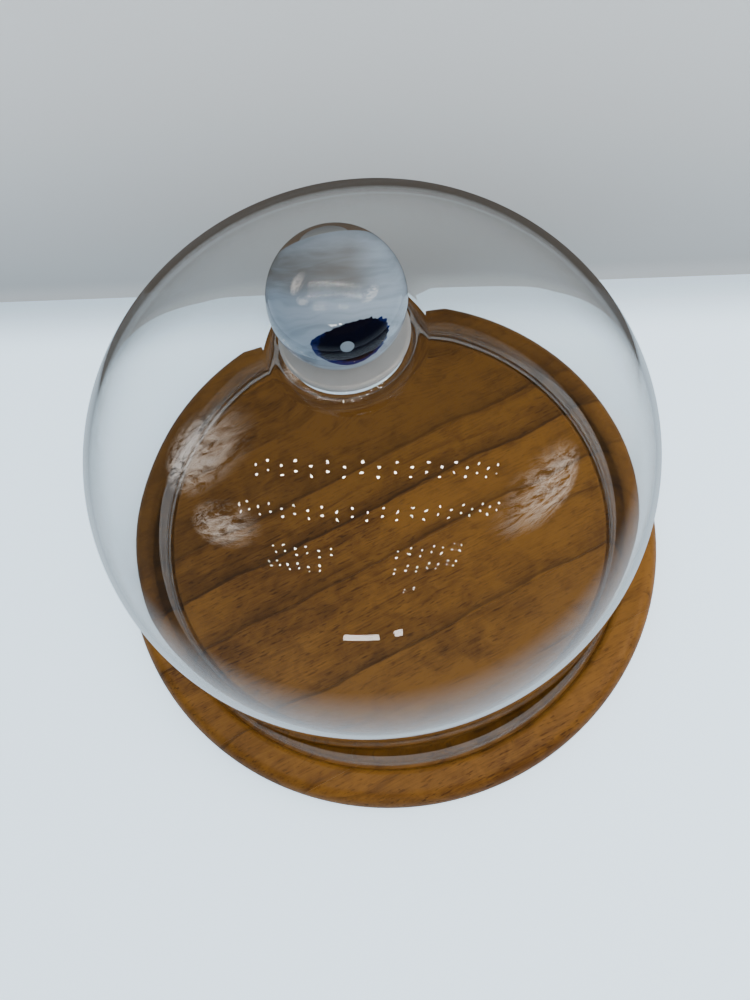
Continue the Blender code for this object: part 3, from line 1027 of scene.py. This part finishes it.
class CAKESTAND_OT_knob(bpy.types.Operator):
    """Builds the glass ball with its core, inlay and dot"""

    bl_idname = "cakestand.knob"
    bl_label = "Knob"

    def execute(self, context):
        knob = context.scene.cake_stand_knob
        ball_z = knob.top_height - knob.radius
        centre = Vector((0, 0, ball_z - knob.core_drop))
        ball = spun(ball_profile(ball_z, knob.radius, knob.base_height - knob.ball_sink, 64), knob.steps)
        glass = glass_material("ball_glass", knob.tint)
        finish(ball, "glass_ball", [glass], "dome", "knob_casing", 50)

        core = spun(ball_profile(centre.z, knob.core_radius, knob.base_height, 48), knob.steps)
        lean = knob.core_flat_tilt
        normal = Vector((0, cos(lean), sin(lean)))
        flat = Vector((0, 0, ball_z)) + normal * (knob.core_radius - knob.core_flat)
        slice_off(core, flat, normal)
        for face in core.faces:
            on_flat = abs((face.calc_center_median() - flat).dot(normal)) < 10 * MERGE
            face.material_index = 1 if on_flat else 0
        # Painted reflection: the flat takes the wood's warm colour as it shows through the glass, with no
        # specular so that the brown reads.
        flat_painted_wood_reflection = plain_glass("core_flat", knob.flat, 0.25, 0.5, 0.0, 0.0)
        materials = [core_material(knob, centre), flat_painted_wood_reflection]
        finish(core, "swirled_core", materials, "dome", "knob_core", 30)

        def frayed(turn):
            """Ragged on the right, flat on top, and drawn out to a blunt point below."""
            place = Vector((cos(turn), sin(turn), 0))
            ragged = 0.3 + 0.7 * max(0.0, cos(turn))
            point = 0.22 * max(0.0, -sin(turn)) ** 10
            level = 0.14 * max(0.0, sin(turn)) ** 2
            rough = 0.06 * noise.noise(place * 1.6) + 0.13 * ragged * noise.noise(place * 8)
            return 1 + point - level + rough

        inlay_shape = (knob.inlay_azimuth, knob.inlay_elevation, knob.inlay_width, knob.inlay_height)
        inlay = patch(
            centre, knob.core_radius, *inlay_shape, knob.inlay_proud, knob.inlay_depth, frayed, 192, 24
        )
        outward = facing(knob.inlay_azimuth, knob.inlay_elevation)
        cobalt = cobalt_material(knob, outward, centre)
        finish(inlay, "cobalt_inlay", [cobalt], "dome", "knob_inlay", 60)

        def nearly_round(turn):
            return 1 + 0.06 * noise.noise(Vector((cos(turn), sin(turn), 3)) * 1.8)

        dot_shape = (knob.dot_azimuth, knob.dot_elevation, knob.dot_width, knob.dot_width)
        dot_radius = knob.core_radius + knob.inlay_proud
        dot = patch(centre, dot_radius, *dot_shape, knob.dot_proud, knob.dot_depth, nearly_round, 48, 16)
        dot_finish = plain_glass("dot_glass", knob.dot, 0.15, 0.35, 0.0)
        finish(dot, "white_dot", [dot_finish], "dome", "knob_dot", 60)
        return {"FINISHED"}


class CAKESTAND_PT_panel(bpy.types.Panel):
    """Lists the parts of the cake stand"""

    bl_idname = "CAKESTAND_PT_panel"
    bl_label = "Cake Stand"
    bl_space_type = "VIEW_3D"
    bl_region_type = "UI"
    bl_category = "Cake Stand"

    def draw(self, context):
        for operator in OPERATORS:
            self.layout.operator(operator.bl_idname)


SETTINGS = {
    "cake_stand_board": CakeStandBoard,
    "cake_stand_dome": CakeStandDome,
    "cake_stand_knob": CakeStandKnob,
    "cake_stand_stage": CakeStandStage,
}
OPERATORS = (
    CAKESTAND_OT_stage,
    CAKESTAND_OT_board,
    CAKESTAND_OT_dome,
    CAKESTAND_OT_foot_disc,
    CAKESTAND_OT_knob,
)
CLASSES = (*SETTINGS.values(), *OPERATORS, CAKESTAND_PT_panel)


def register():
    for cls in CLASSES:
        bpy.utils.register_class(cls)
    for name, cls in SETTINGS.items():
        setattr(bpy.types.Scene, name, PointerProperty(type=cls))


def unregister():
    for name in SETTINGS:
        delattr(bpy.types.Scene, name)
    for cls in reversed(CLASSES):
        bpy.utils.unregister_class(cls)


def main():
    register()
    bpy.ops.cakestand.stage()
    bpy.ops.cakestand.board()
    bpy.ops.cakestand.dome()
    bpy.ops.cakestand.foot_disc()
    bpy.ops.cakestand.knob()


if __name__ == "__main__":
    main()
